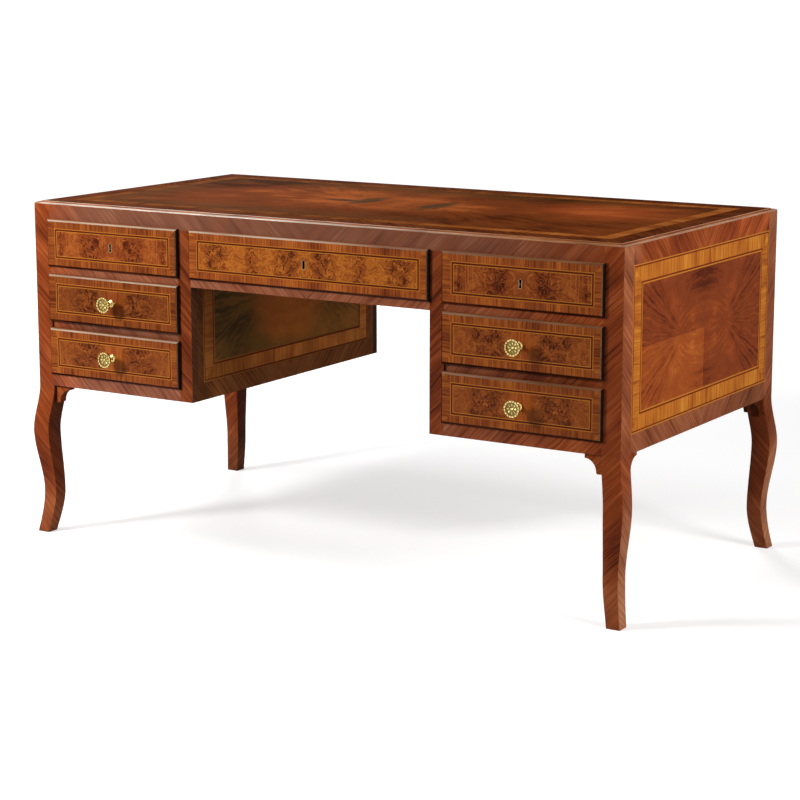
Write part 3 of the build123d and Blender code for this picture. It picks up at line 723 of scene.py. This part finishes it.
def brass(name):
    """Cast brass, rubbed bright where it stands proud, and dark in the dish and the notches of
    the knobs."""
    g = Graph(name)
    across, upward = abs(g.x) - KNOB_X, abs(g.z - KNOB_MIDDLE_Z) - KNOB_HALF_GAP
    turn = g.math("ARCTAN2", upward, across)
    depth = g.y - KNOB_FACE
    dish = g.ramp(depth, 1.3, 1.7) * g.ramp(depth, 2.6, 2.2)
    on_disc = g.ramp(depth, 6, 4)
    between_lobes = g.ramp(g.math("COSINE", turn * KNOB_LOBES), 0.2, 0.8)
    near_rim = g.ramp(g.reach(across, upward), 13.6, 14.8)
    notches = between_lobes * near_rim * on_disc
    shade = g.larger(dish * 0.85, notches * 0.6)
    grain_size = 2.2
    wear_and_painted_sheen = g.noise(g.x / grain_size, g.y / grain_size, g.z / grain_size, detail=3)
    dark, middle, light = BRASS
    rubbed = g.blend(g.ramp(wear_and_painted_sheen, 0.44, 0.6), middle, light)
    rubbed = g.blend(g.ramp(wear_and_painted_sheen, 0.42, 0.34) * on_disc * 0.6, rubbed, dark)
    g.feed_shader(Base_Color=g.blend(shade, rubbed, dark), Metallic=1,
                  Roughness=g.choose(shade, 0.26, 0.5))
    g.emboss(wear_and_painted_sheen, *CAST_SURFACE)
    return g.material


def lock_brass():
    """Dull rim at the keyhole, painted black shade inside it and on the lock behind, and a plain
    case.
    """
    g = Graph("brass_lock")
    depth = g.y - FRONT_FACE
    on_side_lock = g.over(abs(g.x), LOCK_X / 2)
    waist = g.bump_up(g.z, LOCK_Z - 1, 6) * on_side_lock
    half_width = KEY_HOLE_HALF_WIDTH - waist * KEY_HOLE_WAIST
    beside = g.smaller(abs(g.x), abs(abs(g.x) - LOCK_X)) - half_width
    above = abs(g.z - LOCK_Z) - KEY_HOLE_HALF_HEIGHT
    inside = g.over(0, g.larger(above, beside)) * g.over(LIP, depth)
    past_rim, before_case = g.ramp(depth, 0.5, 1), g.ramp(depth, 21, 20.5)
    # Painted shade: black in the keyhole and on the lock behind it
    hole = g.larger(inside, past_rim * before_case)
    g.feed_shader(Base_Color=g.blend(hole, LOCK_RIM, PAINTED_SHADE_BLACK), Metallic=(1 - hole) * 0.6,
                  Roughness=0.5, Specular_IOR_Level=0)
    return g.material


def dress(names, material):
    """Gives all slots of the named nodes one material."""
    for name in names:
        for slot in frame["nodes"][name].material_slots:
            slot.material = material


def matching(*starts):
    """Names of the nodes that start in one of these ways."""
    return [name for name in frame["nodes"] if name.startswith(starts)]


def drawer_pieces(*ends):
    """Names of the drawers' nodes that end in one of these ways."""
    return [name for name in matching("drawer_") if name.endswith(ends)]


def dress_carcase():
    dress(matching("leg_front"), leg_wood("kingwood", 11))
    dress(matching("leg_back"), leg_wood("kingwood_back", 14, slant=-1, shade=0.8))
    dress(matching("leg_brackets"), bracket_wood())
    # The stiles are darkened, a painted shade
    dress(matching("inner_stile"), kingwood("kingwood_stile", 15, shade=0.75))
    dress(matching("back_panel", "back_apron"),
          kingwood("kingwood_rear", 16, contrast=0.6, width=13))
    dress(matching("frieze"), kingwood_rail("kingwood_frieze", 12, sheen=KINGWOOD_FRIEZE_PAINTED_SHEEN,
                                            warm_from=350, contrast=0.65, width=13))
    # The rails are lightened too, part of their painted sheen
    dress(matching("center_rail", "upper_rail", "bottom_rail"),
          kingwood_rail("kingwood_rail", 18, shade=1.3))
    dress(matching("lower_rail"), kingwood_rail("kingwood_low_rail", 13, shade=0.9))
    dress(matching("top_moulding"), moulding_wood())
    dress(matching("top_board"), top_marquetry())
    dress(matching("bottom_board", "dust_board", "drawer_runners"),
          lengthwise_wood("inner", 51, INNER, 0))


def dress_panels():
    open_woods = {"dark": MAHOGANY, "light": MAHOGANY_LIGHT, "band": TULIPWOOD,
                  "border": KINGWOOD, "low": KINGWOOD_SIDE_PAINTED_SHEEN, "front": KINGWOOD_SIDE_PAINTED_SHEEN,
                  "line": LINE_YELLOW}
    # The left kneehole panel's woods recoloured for its shade, painted light and shade, with painted
    # light rising to the rear
    shaded_woods = {"dark": KNEEHOLE, "light": KNEEHOLE, "band": KNEEHOLE_BAND,
                    "border": KNEEHOLE_BORDER, "low": KNEEHOLE_BORDER, "front": KNEEHOLE_FRONT,
                    "line": LINE_DIM}
    dress(matching("side_panel"), panel_marquetry("side", 41, open_woods, spread=1.2, arch=0.09))
    dress(matching("kneehole_panel_right"), panel_marquetry("kneehole_right", 44, open_woods))
    dress(matching("kneehole_panel_left"),
          panel_marquetry("kneehole_left", 47, shaded_woods, spread=2, contrast=0.65, lift=0.2,
                          heart=0.5, rear_light=2.2))


def dress_drawers():
    dress(drawer_pieces("_box", "_bottom"), lengthwise_wood("lining", 52, LINING, 0.05, 14))
    for number, node in enumerate(sorted(drawer_pieces("_front"))):
        name = node[len("drawer_"):-len("_front")]
        dress([node], front_marquetry(name, 70 + 3 * number))
    dress(matching("knob"), brass("brass_gilt"))
    dress(matching("lock"), lock_brass())
    dress(matching("lock_bolt"), brass("brass_bolt"))


def soften(names, width):
    """Breaks the sharp edges of rigid nodes with a narrow bevel."""
    for name in names:
        node = frame["nodes"][name]
        weld = node.modifiers.new("weld", "WELD")
        weld.merge_threshold = WELD_REACH
        bevel = node.modifiers.new("arris", "BEVEL")
        bevel.width = width
        bevel.segments = 2
        bevel.limit_method = "ANGLE"
        bevel.angle_limit = math.radians(BEVEL_FROM_ANGLE)
        bevel.harden_normals = True


def grey(level):
    """A neutral shader colour."""
    return (level, level, level, 1)


def floor_material():
    """Pale paper that sends the desk less light than the camera, and glows where it is seen, more
    so far from the desk."""
    material = bpy.data.materials.new("floor")
    material.use_nodes = True
    g = Nodes(material.node_tree)
    seen = g.seen()
    x, y = g.split(g.node("ShaderNodeTexCoord").outputs["Object"])[:2]
    rise = g.ramp(g.reach(x, y), GLOW_GROWS_FROM, GLOW_FULL_FROM, "LINEAR")
    g.feed_shader(Base_Color=g.blend(seen, grey(FLOOR_UNSEEN), grey(FLOOR_SEEN)), Roughness=1,
                  Specular_IOR_Level=0, Emission_Color=WHITE,
                  Emission_Strength=g.choose(rise, GLOW_LEAST, 1) * seen)
    return material


def floor():
    """A wide pale floor that keeps the desk's shadow."""
    half = 120
    corners = [(-half, -half, 0), (half, -half, 0), (half, half, 0), (-half, half, 0)]
    mesh = bpy.data.meshes.new("floor")
    mesh.from_pydata(corners, [], [(0, 1, 2, 3)])
    mesh.materials.append(floor_material())
    plane = bpy.data.objects.new("floor", mesh)
    bpy.context.scene.collection.objects.link(plane)


def world():
    """White where it is seen, and a weaker even light on the desk."""
    scene_world = bpy.data.worlds.new("studio")
    bpy.context.scene.world = scene_world
    scene_world.use_nodes = True
    g = Nodes(scene_world.node_tree)
    background = g.tree.nodes["Background"]
    background.inputs["Color"].default_value = WHITE
    g.feed(background.inputs["Strength"], g.choose(g.seen(), EVEN_LIGHT, 1))


def soft_box(name, place, length, width, level, faces_down=False):
    """A lamp aimed at the desk or straight down. A level of 1 shows a colour there as written."""
    data = bpy.data.lights.new(name, "AREA")
    data.shape = "RECTANGLE"
    data.size, data.size_y = length, width
    holder = bpy.data.objects.new(name, data)
    holder.location = Vector(place)
    towards = Vector(place) - Vector((0, MIDDLE_Y, AIM_HEIGHT))
    data.energy = level * (math.pi * towards.length) ** 2
    holder.visible_camera = False
    if not faces_down:
        holder.rotation_euler = towards.to_track_quat("Z", "Y").to_euler()
    bpy.context.scene.collection.objects.link(holder)


def camera():
    """The camera of the photograph."""
    data = bpy.data.cameras.new("camera")
    data.lens = CAMERA_LENS
    data.clip_end = CAMERA_REACH
    holder = bpy.data.objects.new("camera", data)
    holder.location = (CAMERA_X, CAMERA_Y + MIDDLE_Y, CAMERA_Z)
    holder.rotation_euler = (math.radians(90 - CAMERA_PITCH), 0, math.radians(CAMERA_YAW))
    bpy.context.scene.collection.objects.link(holder)
    bpy.context.scene.camera = holder


camera()
floor()
world()
soft_box("key", (-1.8, -2.25, 1.7), length=0.5, width=0.5, level=0.72)
soft_box("right", (3.6, -0.6, 1.7), length=1.2, width=1.2, level=0.54)
soft_box("rear", (-3.2, 4.2, 2.6), length=1.5, width=1.5, level=0.45)
soft_box("overhead", (-1.9, -0.9, 3.0), length=2.2, width=1.5, level=0.5, faces_down=True)
dress_carcase()
dress_panels()
dress_drawers()
soften(matching("leg_front", "leg_back"), LEG_BEVEL)
soften(drawer_pieces("_front"), FRONT_BEVEL)
bpy.context.scene.view_settings.view_transform = "Standard"
